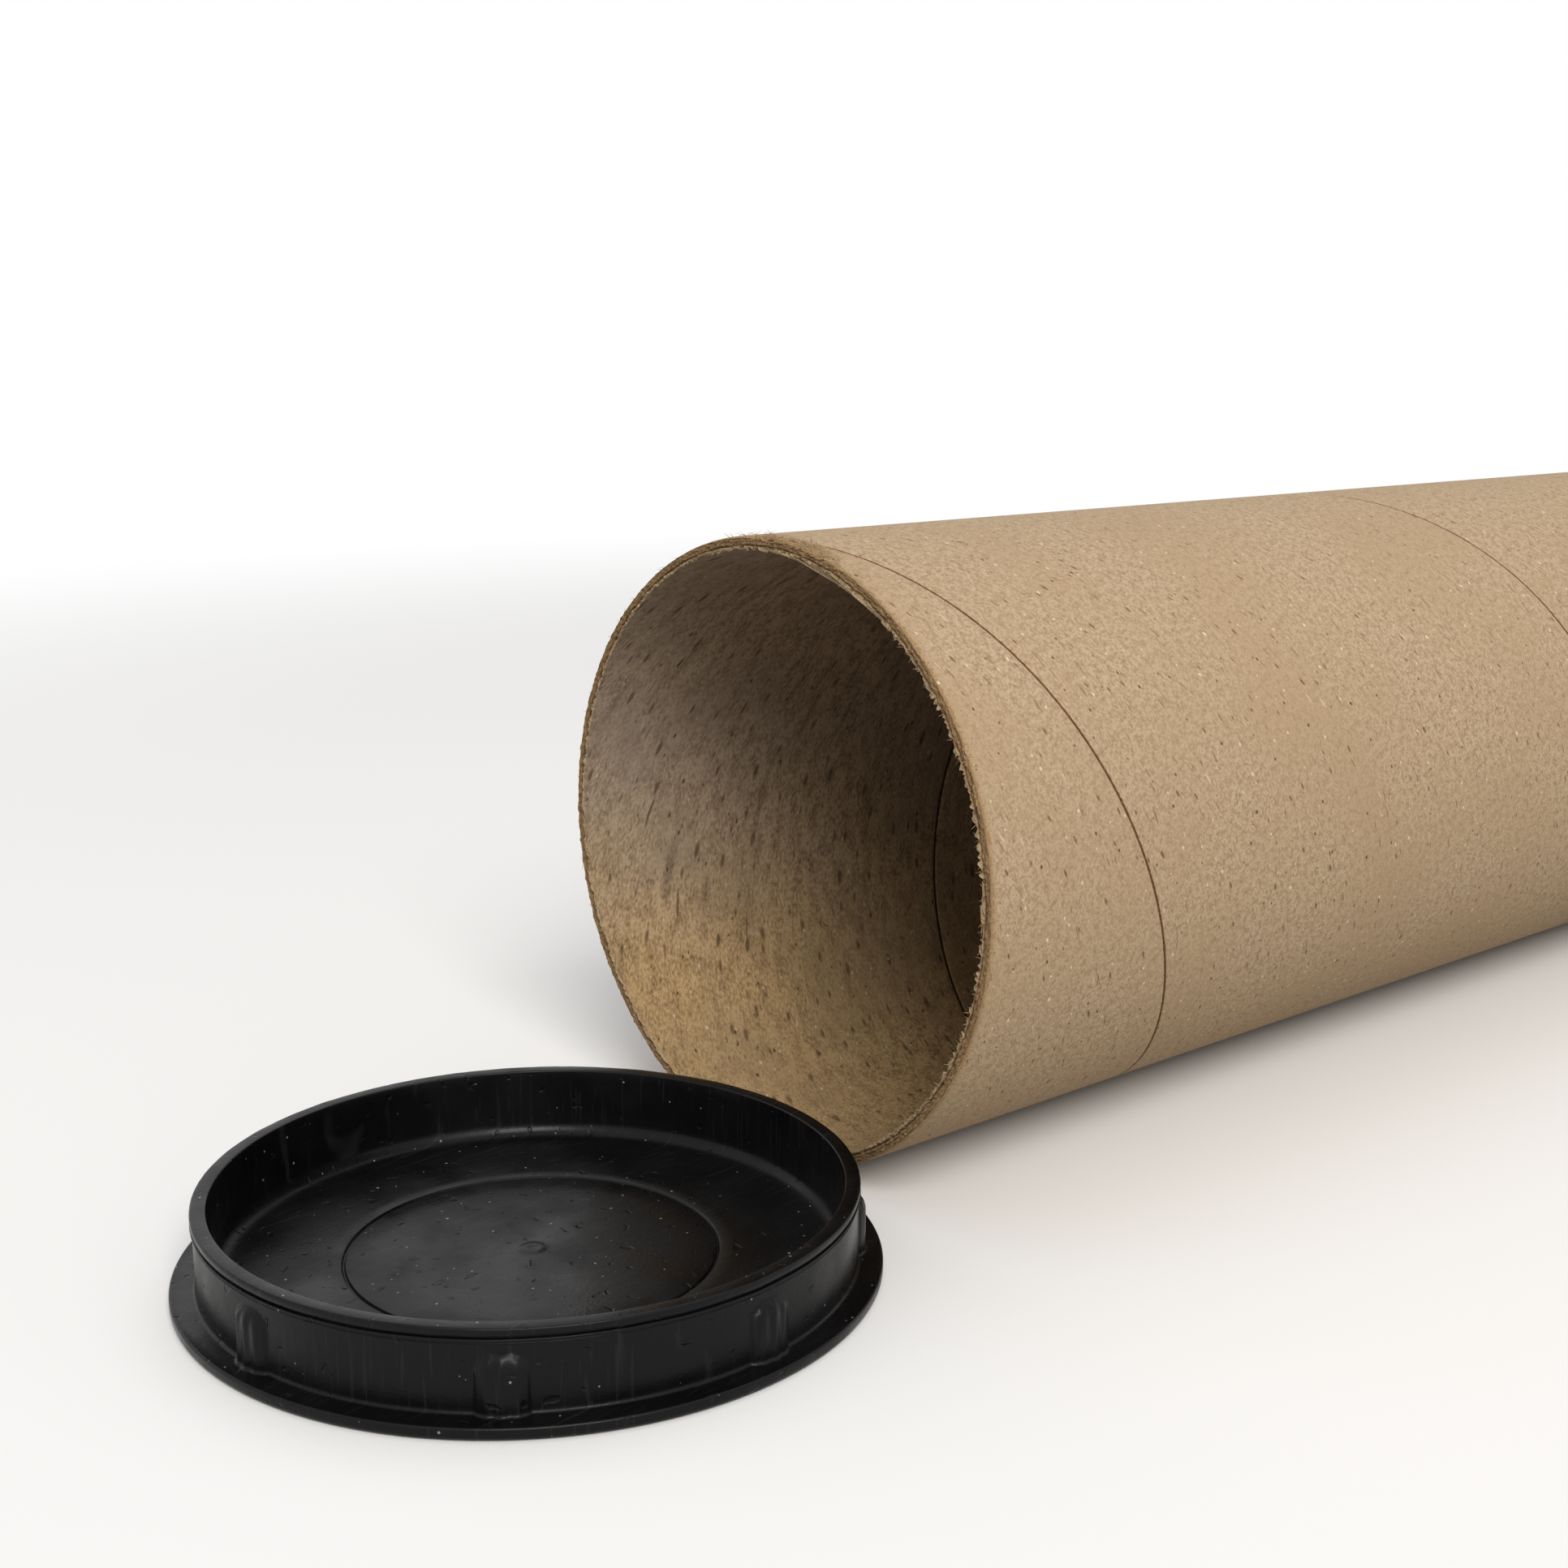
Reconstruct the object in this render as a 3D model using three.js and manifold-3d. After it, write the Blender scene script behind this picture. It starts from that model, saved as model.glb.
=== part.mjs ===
// A spirally wound paperboard shipping tube that lies on its side, with two moulded plug caps.
// One cap is pushed into the far end. The other is taken off and lies in front of the open mouth,
// flange down. Millimetres, +Z up, the tube along X, and the origin at the middle of the base of
// the whole part's box.
import * as THREE from "three";
import { mergeVertices } from "three/addons/utils/BufferGeometryUtils.js";
import Module from "manifold-3d";

const wasm = await Module();
wasm.setup();

// Driving dimensions of the tube
const TUBE_LENGTH = 609.6; // cut length, 24 in
const BORE = 76.2; // inside diameter, 3 in
const WALL = 1.6; // all plies together
const PLY_WIDTH = 101.6; // the paper strip, 4 in wide, that each ply is wound from
const SEAM_GAP = 0.5; // between neighbouring turns of the outer ply, and of the inner one
const SEAM_DEPTH = 0.35; // one ply
const OUTER_SEAM_START = 1.6; // where a seam meets the open end, in degrees from the top
const INNER_SEAM_START = 35;

// Driving dimensions of a cap
const FLANGE_THICKNESS = 1.5;
const BEAD_WIDTH = 3.4; // the rounded rim that stands up round the flange's outer face
const BEAD_ROUND = 0.7;
const PANEL_RECESS = 0.5; // from the bead's crest down to the flat panel
const PANEL_THICKNESS = 1.3;
const RING_GROOVE_WIDTH = 1; // between the bead and the panel
const RING_GROOVE_DEPTH = 0.3;
const PLUG_DEPTH = 9; // how far the plug reaches into the tube
const PLUG_WALL = 1.5;
const PLUG_CLEARANCE = 1; // from the lip to the bore, which the ribs take up
const LIP_HEIGHT = 1; // the plain band at the plug's mouth
const LIP_STEP = 0.25; // how far the lip stands out from the skirt under it
const LIP_CHAMFER = 0.3;
const CORNER_ROUND = 1.8; // where the plug's inside meets its floor
const DISC_RADIUS = 21; // the ring line round the middle of the floor
const DISC_LINE = 0.4;
const RIB_COUNT = 8;
const RIB_WIDTH = 5.4;
const RIB_HEIGHT = 6.3;
const RIB_DOME = 1.8; // the rounded top end of a rib

// Fits and places
const FIT_GAP = 0.3; // between faces that touch on the real thing
const LOOSE_CAP_GAP = 1.2; // from the open end to the cap that lies before it
const LOOSE_CAP_OFFSET = 8; // how far it lies to the side of the tube's axis
const LOOSE_CAP_TURN = 6.5; // degrees, of its ribs
const TUBE_SIDES = 64;
const CAP_SIDES = 48;

const boreRadius = BORE / 2;
const tubeRadius = boreRadius + WALL;
const circumference = 2 * Math.PI * tubeRadius;
// A strip whose edges butt together climbs one pitch in each turn.
const seamPitch = (PLY_WIDTH * circumference) / Math.sqrt(circumference ** 2 - PLY_WIDTH ** 2);
const seamLead = Math.atan(seamPitch / circumference);
const flangeRadius = tubeRadius; // flush with the tube's outside
const lipRadius = boreRadius - PLUG_CLEARANCE;
const skirtRadius = lipRadius - LIP_STEP;
const plugInside = skirtRadius - PLUG_WALL;
const capHeight = FLANGE_THICKNESS + PLUG_DEPTH;
const floorHeight = PANEL_RECESS + PANEL_THICKNESS;
const ribTipRadius = boreRadius - FIT_GAP;

const kraft = new THREE.MeshStandardMaterial({ color: "#c4a783", roughness: 0.9, metalness: 0 });
const blackPlastic = new THREE.MeshStandardMaterial({ color: "#1b1b1c", roughness: 0.38, metalness: 0 });

// A closed geometry as a solid that can be cut and joined.
function toSolid(geometry) {
  geometry.deleteAttribute("normal");
  geometry.deleteAttribute("uv");
  const merged = mergeVertices(geometry);
  return new wasm.Manifold(
    new wasm.Mesh({
      numProp: 3,
      vertProperties: merged.getAttribute("position").array,
      triVerts: Uint32Array.from(merged.index.array),
    }),
  );
}

// A solid back as a geometry with flat-shaded faces.
function toGeometry(solid) {
  const { vertProperties, triVerts } = solid.getMesh();
  const geometry = new THREE.BufferGeometry();
  geometry.setAttribute("position", new THREE.BufferAttribute(vertProperties, 3));
  geometry.setIndex(new THREE.BufferAttribute(triVerts, 1));
  const faceted = geometry.toNonIndexed();
  faceted.computeVertexNormals();
  return faceted;
}

// A solid rod that is faced with one ply: a paper strip wound edge to edge, so that its butt seam
// runs round as a helix. The seam is a V, as deep as seamRadius, that the strip's edges leave open.
// The rod's axis is Y. It runs past both ends of the tube, where a fan to the axis closes it.
function woundRod(radius, seamRadius, startDegrees) {
  const step = (2 * Math.PI) / TUBE_SIDES;
  const start = THREE.MathUtils.degToRad(startDegrees);
  const halfGap = SEAM_GAP / 2 / Math.cos(seamLead);
  const stepsAlong = Math.ceil((TUBE_LENGTH / seamPitch) * TUBE_SIDES);
  const firstStep = -2 * TUBE_SIDES;
  const lastStep = stepsAlong + 2 * TUBE_SIDES;
  const points = [];
  const faces = [];
  const quad = (a, b, c, d) => faces.push(a, b, c, a, c, d);

  for (let i = firstStep; i <= lastStep; i++) {
    const angle = i * step;
    const along = (seamPitch * (angle - start)) / (2 * Math.PI);
    for (const side of [-1, 0, 1]) {
      const r = side === 0 ? seamRadius : radius;
      points.push(r * Math.sin(angle), along + side * halfGap, r * Math.cos(angle));
    }
  }

  // Each step has three points: the strip's trailing edge, the foot of the seam, its leading edge.
  const steps = lastStep - firstStep;
  const nextTurn = 3 * TUBE_SIDES;
  for (let i = 0; i < steps; i++) {
    const here = 3 * i;
    const next = here + 3;
    quad(here, next, next + 1, here + 1);
    quad(here + 1, next + 1, next + 2, here + 2);
    if (i < steps - TUBE_SIDES) quad(here + 2, next + 2, next + nextTurn, here + nextTurn);
  }

  const lowEnd = points.length / 3;
  const highEnd = lowEnd + 1;
  points.push(0, points[1] - seamPitch, 0, 0, points[3 * lowEnd - 2] + seamPitch, 0);
  const last = 3 * steps;
  const lastTurn = last - nextTurn;
  for (let i = 0; i < TUBE_SIDES; i++) {
    faces.push(lowEnd, 3 * (i + 1), 3 * i);
    faces.push(highEnd, lastTurn + 3 * i + 2, lastTurn + 3 * (i + 1) + 2);
  }
  faces.push(lowEnd, 0, 1, lowEnd, 1, 2, lowEnd, 2, nextTurn);
  faces.push(highEnd, last + 2, last + 1, highEnd, last + 1, last, highEnd, last, lastTurn + 2);

  const rod = new THREE.BufferGeometry();
  rod.setAttribute("position", new THREE.Float32BufferAttribute(points, 3));
  rod.setIndex(faces);
  return toSolid(rod);
}

// The wound wall, with its axis along Y and the open end at Y = 0: a rod faced with the outer ply,
// sawn square at both ends, less a rod that has the bore's ply for its face.
function tubeGeometry() {
  const sawn = new THREE.BoxGeometry(4 * tubeRadius, TUBE_LENGTH, 4 * tubeRadius);
  sawn.translate(0, TUBE_LENGTH / 2, 0);
  return toGeometry(
    toSolid(sawn)
      .intersect(woundRod(tubeRadius, tubeRadius - SEAM_DEPTH, OUTER_SEAM_START))
      .subtract(woundRod(boreRadius, boreRadius + SEAM_DEPTH, INNER_SEAM_START)),
  );
}

// Half of a cap's section, from the middle of its outer face round to the middle of its floor.
function capSection() {
  const beadInside = flangeRadius - BEAD_WIDTH;
  const panelRadius = beadInside - RING_GROOVE_WIDTH;
  const lipBottom = capHeight - LIP_HEIGHT;
  const path = new THREE.Path();
  path.moveTo(0, PANEL_RECESS);
  path.lineTo(panelRadius, PANEL_RECESS);
  path.lineTo(panelRadius, PANEL_RECESS + RING_GROOVE_DEPTH);
  path.lineTo(beadInside, PANEL_RECESS + RING_GROOVE_DEPTH);
  path.absarc(beadInside + BEAD_ROUND, BEAD_ROUND, BEAD_ROUND, Math.PI, 1.5 * Math.PI, false);
  path.absarc(flangeRadius - BEAD_ROUND, BEAD_ROUND, BEAD_ROUND, 1.5 * Math.PI, 2 * Math.PI, false);
  path.lineTo(flangeRadius, FLANGE_THICKNESS);
  path.lineTo(skirtRadius, FLANGE_THICKNESS);
  path.lineTo(skirtRadius, lipBottom);
  path.lineTo(lipRadius, lipBottom + LIP_STEP);
  path.lineTo(lipRadius, capHeight - LIP_CHAMFER);
  path.lineTo(lipRadius - LIP_CHAMFER, capHeight);
  path.lineTo(plugInside, capHeight);
  path.absarc(
    plugInside - CORNER_ROUND,
    floorHeight + CORNER_ROUND,
    CORNER_ROUND,
    2 * Math.PI,
    1.5 * Math.PI,
    true,
  );
  path.lineTo(DISC_RADIUS + DISC_LINE / 2, floorHeight);
  path.lineTo(DISC_RADIUS, floorHeight - DISC_LINE / 2);
  path.lineTo(DISC_RADIUS - DISC_LINE / 2, floorHeight);
  path.lineTo(0, floorHeight);
  return path.getPoints(2);
}

// One crush rib: a bar with a domed end, flattened against the skirt, that stands on the flange.
function ribSolid(turn) {
  const straight = RIB_HEIGHT - RIB_DOME;
  const outline = new THREE.Path();
  outline.moveTo(0, 0);
  outline.lineTo(1, 0);
  outline.lineTo(1, straight);
  outline.absellipse(0, straight, 1, RIB_DOME, 0, Math.PI / 2, false, 0);
  const rib = new THREE.LatheGeometry(outline.getPoints(2), 12);
  rib.scale(RIB_WIDTH / 2, 1, ribTipRadius - skirtRadius);
  rib.translate(0, FLANGE_THICKNESS, skirtRadius);
  rib.rotateY(turn);
  return toSolid(rib);
}

// A plug cap, with its axis along Y, its outer face at Y = 0 and its open side towards +Y.
function capGeometry() {
  let cap = toSolid(new THREE.LatheGeometry(capSection(), CAP_SIDES));
  for (let i = 0; i < RIB_COUNT; i++) cap = cap.add(ribSolid((2 * Math.PI * i) / RIB_COUNT));
  return toGeometry(cap);
}

function namedMesh(name, geometry, material) {
  const mesh = new THREE.Mesh(geometry, material);
  mesh.name = name;
  return mesh;
}

const capShape = capGeometry();

const tube = namedMesh("tube", tubeGeometry(), kraft);
tube.rotation.z = -Math.PI / 2;
tube.position.z = tubeRadius;

const rearCap = namedMesh("rear_cap", capShape, blackPlastic);
rearCap.rotation.z = Math.PI / 2;
rearCap.position.set(TUBE_LENGTH + FIT_GAP + FLANGE_THICKNESS, 0, tubeRadius);

const looseCap = namedMesh("loose_cap", capShape.clone(), blackPlastic);
looseCap.rotation.set(Math.PI / 2, THREE.MathUtils.degToRad(LOOSE_CAP_TURN), 0);
looseCap.position.set(-flangeRadius - LOOSE_CAP_GAP, -LOOSE_CAP_OFFSET, 0);

const assembly = new THREE.Group();
assembly.add(tube, rearCap, looseCap);

assembly.updateMatrixWorld(true);
const box = new THREE.Box3().setFromObject(assembly, true);
const middle = box.getCenter(new THREE.Vector3());
assembly.position.set(-middle.x, -middle.y, -box.min.z);

const part = new THREE.Group();
part.name = "shipping_tube";
part.add(assembly);

export default part;
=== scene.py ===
"""Looks of a spirally wound shipping tube, its fitted rear cap and the cap before its mouth.

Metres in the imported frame: the tube lies along X with its mouth at the low end, and Z is up.
Sizes of the pieces are given in millimetres where that reads better, and MM turns them.
"""
import sys
import logging
import math
import random
from dataclasses import dataclass, field
from enum import Enum
from typing import Any

import bmesh
import bpy
from mathutils import Matrix, Vector, noise


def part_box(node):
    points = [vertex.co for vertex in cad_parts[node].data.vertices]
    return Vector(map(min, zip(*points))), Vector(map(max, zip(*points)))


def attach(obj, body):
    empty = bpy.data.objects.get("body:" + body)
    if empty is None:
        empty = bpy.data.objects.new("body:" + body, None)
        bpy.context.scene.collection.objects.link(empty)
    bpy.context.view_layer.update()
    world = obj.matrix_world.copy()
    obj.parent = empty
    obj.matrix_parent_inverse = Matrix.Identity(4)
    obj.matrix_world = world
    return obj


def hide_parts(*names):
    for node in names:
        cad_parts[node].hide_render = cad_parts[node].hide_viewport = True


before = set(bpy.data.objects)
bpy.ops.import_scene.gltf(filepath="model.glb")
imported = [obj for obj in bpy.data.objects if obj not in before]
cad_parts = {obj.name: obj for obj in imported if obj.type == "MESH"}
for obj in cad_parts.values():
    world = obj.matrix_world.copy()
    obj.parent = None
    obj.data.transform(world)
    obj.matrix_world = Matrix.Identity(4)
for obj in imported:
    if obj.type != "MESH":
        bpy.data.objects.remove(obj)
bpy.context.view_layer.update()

MM = 0.001
TURN = 2 * math.pi
IMAGE_SIDE = 1932
SENSOR_WIDTH = 36.0
WALL_MM = 1.6
LOOSE_CAP_GAP_MM = 1.2
LOOSE_CAP_ASIDE_MM = 8.0
LOOSE_CAP_TURN_DEGREES = 6.5
TOUCH = 1e-6
PLY_UV = "ply_mm"
WEAR = "wear"
Source = bpy.types.NodeSocket | bpy.types.Node

logging.basicConfig(level=logging.INFO, format="%(relativeCreated)6d ms  %(message)s", stream=sys.stdout)
log = logging.getLogger("shipping_tube")


def linear(code: str) -> tuple[float, float, float, float]:
    """Turns an sRGB hex colour to the linear colour that a shader takes.

    Args:
        code: Six hex digits.

    Returns:
        Linear red, green and blue, and an alpha of 1.
    """
    parts = [int(code[i : i + 2], 16) / 255 for i in (0, 2, 4)]
    red, green, blue = (p / 12.92 if p <= 0.04045 else ((p + 0.055) / 1.055) ** 2.4 for p in parts)
    return red, green, blue, 1.0


def add(
    tree: bpy.types.NodeTree,
    kind: str,
    settings: dict[str | int, Any] | None = None,
    links: dict[str | int, Source] | None = None,
) -> bpy.types.Node:
    """Adds a node with its settings and its links.

    Args:
        tree: The tree that the node goes into.
        kind: The node's type, without the leading ShaderNode.
        settings: Values by name. A capital or a number means an input, and the rest are properties.
        links: What to link from, by the name or number of the input that takes it. A node stands
            for the first output that it has in use.

    Returns:
        The new node.
    """
    node = tree.nodes.new("ShaderNode" + kind)
    for key, value in (settings or {}).items():
        if isinstance(key, int) or key[0].isupper():
            node.inputs[key].default_value = value
        else:
            setattr(node, key, value)
    for key, source in (links or {}).items():
        if isinstance(source, bpy.types.Node):
            source = next(output for output in source.outputs if output.enabled)
        tree.links.new(source, node.inputs[key])
    return node


def new_material(name: str) -> tuple[bpy.types.Material, bpy.types.NodeTree]:
    """Makes a material with an empty node tree.

    Args:
        name: The material's name.

    Returns:
        The material and its tree.
    """
    material = bpy.data.materials.new(name)
    material.use_nodes = True
    material.node_tree.nodes.clear()
    return material, material.node_tree


def cloudy(
    tree: bpy.types.NodeTree, place: Source, scale: float, detail: float, **more: float | str
) -> bpy.types.Node:
    """Adds a noise pattern.

    Args:
        tree: The material's tree.
        place: The coordinates that it lies on.
        scale: How many of its largest lumps are in one unit of them.
        detail: How many finer layers lie over those lumps.
        more: The node's other settings.

    Returns:
        The pattern's node.
    """
    return add(tree, "TexNoise", {**more, "Scale": scale, "Detail": detail}, {"Vector": place})


def reckon(tree: bpy.types.NodeTree, operation: str, *terms: Source | float) -> bpy.types.Node:
    """Adds a sum.

    Args:
        tree: The material's tree.
        operation: The kind of sum.
        terms: Its terms, each a number or what to link from.

    Returns:
        The sum's node.
    """
    numbers = {i: term for i, term in enumerate(terms) if isinstance(term, float)}
    sources = {i: term for i, term in enumerate(terms) if i not in numbers}
    return add(tree, "Math", {"operation": operation, **numbers}, sources)


def ranged(
    tree: bpy.types.NodeTree,
    value: Source,
    start: float,
    full: float,
    low: float = 0.0,
    high: float = 1.0,
    soft: bool = False,
) -> bpy.types.Node:
    """Adds a node that turns one range of values to another, and holds it at its ends.

    Args:
        tree: The material's tree.
        value: The value.
        start: The value that gives low.
        full: The value that gives high.
        low: The result at the start.
        high: The result from the full value on.
        soft: Whether the result eases in and out, instead of rising evenly.

    Returns:
        The node.
    """
    kind = {"interpolation_type": "SMOOTHSTEP" if soft else "LINEAR"}
    ends = {"From Min": start, "From Max": full, "To Min": low, "To Max": high}
    return add(tree, "MapRange", kind | ends, {"Value": value})


def surface(
    tree: bpy.types.NodeTree,
    colour: Source,
    height: Source,
    relief: tuple[float, float],
    settings: dict[str, float],
    **more: Source,
) -> None:
    """Ends a material's tree with its shader.

    Args:
        tree: The material's tree.
        colour: The surface's colour.
        height: The pattern that stands out of the surface.
        relief: How strong that relief is, from 0 to 1, and how high in millimetres.
        settings: The shader's fixed values.
        more: What else is linked to the shader, by the input's name.
    """
    strength, high_mm = relief
    bump = add(tree, "Bump", {"Strength": strength, "Distance": high_mm * MM}, {"Height": height})
    links = {"Base Color": colour, "Normal": bump, **more}
    add(tree, "OutputMaterial", {}, {"Surface": add(tree, "BsdfPrincipled", settings, links)})


def lay_over(
    tree: bpy.types.NodeTree,
    under: Source,
    code: str,
    value: Source,
    reach: tuple[float, float, float],
) -> Source:
    """Lays a colour over another where a pattern's value is in reach.

    Args:
        tree: The material's tree.
        under: The colour below.
        code: The colour on top, as six hex digits.
        value: The pattern's value.
        reach: The value where the top colour starts, the one where it is full, and its full share.

    Returns:
        The mixed colour.
    """
    start, full, most = reach
    share = ranged(tree, value, start, full, high=most)
    return add(tree, "Mix", {"data_type": "RGBA", 7: linear(code)}, {0: share, 6: under})


def in_sight(tree: bpy.types.NodeTree) -> Source:
    """Gives 1 to the camera's, gloss and see-through rays, and 0 to the rays that light things."""
    ray = add(tree, "LightPath")
    seen = ray.outputs["Is Camera Ray"]
    for other in ("Is Glossy Ray", "Is Transmission Ray"):
        seen = reckon(tree, "MAXIMUM", seen, ray.outputs[other])
    return seen


def wander(angle: float, reach: float, size: float, seed: float) -> float:
    """Gives a smooth random value that closes on itself round a circle.

    Args:
        angle: Where on the circle, in radians.
        reach: The circle's radius.
        size: The length of one lump, in the same unit as the radius.
        seed: Picks the pattern.

    Returns:
        A value from about -1 to 1.
    """
    return noise.noise(Vector((math.cos(angle) * reach / size, math.sin(angle) * reach / size, seed)))


class Wind(Enum):
    """Which face of the wall a wound ply makes."""

    OUTSIDE = "outside"
    INSIDE = "inside"


@dataclass(frozen=True)
class Fleck:
    """One kind of short mark in paper: grit, a bark speck or a stray fibre."""

    colour: str
    length_mm: float
    width_mm: float
    spacing_mm: float
    share: float
    strength: float
    turn_degrees: float = 0.0
    curl_mm: float = 0.0
    seed: float = 0.0

    def lay(self, tree: bpy.types.NodeTree, place: Source, colour: Source) -> Source:
        """Lays the marks over a colour.

        Args:
            tree: The material's tree.
            place: Coordinates in millimetres.
            colour: The colour under the marks.

        Returns:
            The colour with the marks in it.
        """
        stretch = self.length_mm / self.width_mm
        if self.curl_mm:
            bend = cloudy(tree, place, 0.5 / self.length_mm, 0.0, noise_dimensions="2D")
            curl = {"operation": "MULTIPLY_ADD", 1: (self.curl_mm, self.curl_mm, 0.0)}
            place = add(tree, "VectorMath", curl, {0: bend.outputs["Color"], 2: place})
        spread = add(
            tree,
            "Mapping",
            {
                "Location": (self.seed, self.seed * 1.7, 0.0),
                "Rotation": (0.0, 0.0, math.radians(self.turn_degrees)),
                "Scale": (1 / (self.spacing_mm * stretch), 1 / self.spacing_mm, 1.0),
            },
            {"Vector": place},
        )
        cells = add(tree, "TexVoronoi", {"voronoi_dimensions": "2D", "Scale": 1.0}, {"Vector": spread})
        half = self.width_mm / 2 / self.spacing_mm
        tone, distance = cells.outputs["Color"], cells.outputs["Distance"]
        thinned = reckon(tree, "MULTIPLY_ADD", tone, half / self.share, distance)
        reach = (half * 1.35, half * 0.75, self.strength)
        return lay_over(tree, colour, self.colour, thinned, reach)


@dataclass(frozen=True)
class KraftPaper:
    """Uncoated brown kraft: recycled fibre whose short dark and pale bits stay in sight.

    The felted fibre gives a matt, mottled brown. A real fibre is thinner than a pixel of the
    render, so the grain and the flecks are drawn at 0.2 to 1 mm, as coarse as they need to show.
    """

    name: str
    dark: str
    base: str
    pale: str
    cloud: str
    # Clumps of fibre, the mottle between them and the slow change over a sheet.
    grain_mm: float = 0.36
    mottle_mm: float = 0.95
    cloud_mm: float = 26.0
    cloud_reach: tuple[float, float, float] = (0.4, 0.72, 0.55)
    stretch: float = 1.2
    grain_share: float = 0.62
    roughness: float = 0.88
    gloss: float = 0.3
    relief_mm: float = 0.035
    flecks: tuple[Fleck, ...] = ()
    # Where the face is worn through, the brown pulp shows, first where the grain stands out.
    scuff: str = "94764F"
    scuff_grain: float = 2.4
    scuff_reach: tuple[float, float, float] = (1.56, 1.7, 0.85)
    # Painted warm light: a warm tint low in the bore that stands in for the lit lower wall, and the
    # heights over the floor where it starts and is full.
    painted_warm_light: str = ""
    painted_warm_light_from_mm: float = 64.0
    painted_warm_light_full_mm: float = 18.0
    painted_warm_light_wave_mm: float = 30.0

    def paint_warm_light_below(self, tree: bpy.types.NodeTree, colour: Source) -> Source:
        """Warms the paper towards the bottom of the bore as painted warm light, where the lower wall is
        lit.

        Args:
            tree: The material's tree.
            colour: The paper's colour at the top of the bore.

        Returns:
            The colour that takes the painted warm light with the depth.
        """
        place = add(tree, "TexCoord").outputs["Object"]
        parts = add(tree, "SeparateXYZ", {}, {"Vector": place})
        wave = self.painted_warm_light_wave_mm * MM
        cloud = cloudy(tree, place, 1 / wave, 2.0)
        height = reckon(tree, "MULTIPLY_ADD", cloud, wave, parts.outputs["Z"])
        share = ranged(tree, height, self.painted_warm_light_from_mm * MM, self.painted_warm_light_full_mm * MM, soft=True)
        tint = {"data_type": "RGBA", "blend_type": "MULTIPLY", 7: linear(self.painted_warm_light)}
        return add(tree, "Mix", tint, {0: share, 6: colour})

    def material(self) -> bpy.types.Material:
        """Makes the paper, with its patterns laid along the wound strip."""
        material, tree = new_material(self.name)
        place = add(tree, "UVMap", {"uv_map": PLY_UV})
        drawn = add(tree, "Mapping", {"Scale": (1 / self.stretch, 1.0, 1.0)}, {"Vector": place})
        grain = cloudy(tree, drawn, 1 / self.grain_mm, 2.0, noise_dimensions="2D", Roughness=0.6)
        mottle = cloudy(tree, drawn, 1 / self.mottle_mm, 2.0, noise_dimensions="2D", Roughness=0.5)
        blend = add(tree, "Mix", {"data_type": "FLOAT", 0: self.grain_share}, {2: mottle, 3: grain})
        ramp = add(tree, "ValToRGB", {}, {"Fac": blend})
        stops = ramp.color_ramp.elements
        stops[0].position = 0.3
        stops[0].color = linear(self.dark)
        stops[1].position = 0.7
        stops[1].color = linear(self.pale)
        stops.new(0.5).color = linear(self.base)
        cloud = cloudy(tree, place, 1 / self.cloud_mm, 3.0, noise_dimensions="2D")
        colour = lay_over(tree, ramp, self.cloud, cloud, self.cloud_reach)
        # Painted warm light low in the bore.
        if self.painted_warm_light:
            colour = self.paint_warm_light_below(tree, colour)
        for fleck in self.flecks:
            colour = fleck.lay(tree, place, colour)
        worn = add(tree, "Attribute", {"attribute_name": WEAR})
        torn = reckon(tree, "MULTIPLY_ADD", blend, self.scuff_grain, worn.outputs["Fac"])
        colour = lay_over(tree, colour, self.scuff, torn, self.scuff_reach)
        sheen = {"Roughness": self.roughness, "Specular IOR Level": self.gloss}
        surface(tree, colour, blend, (0.6, self.relief_mm), sheen)
        return material


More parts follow.
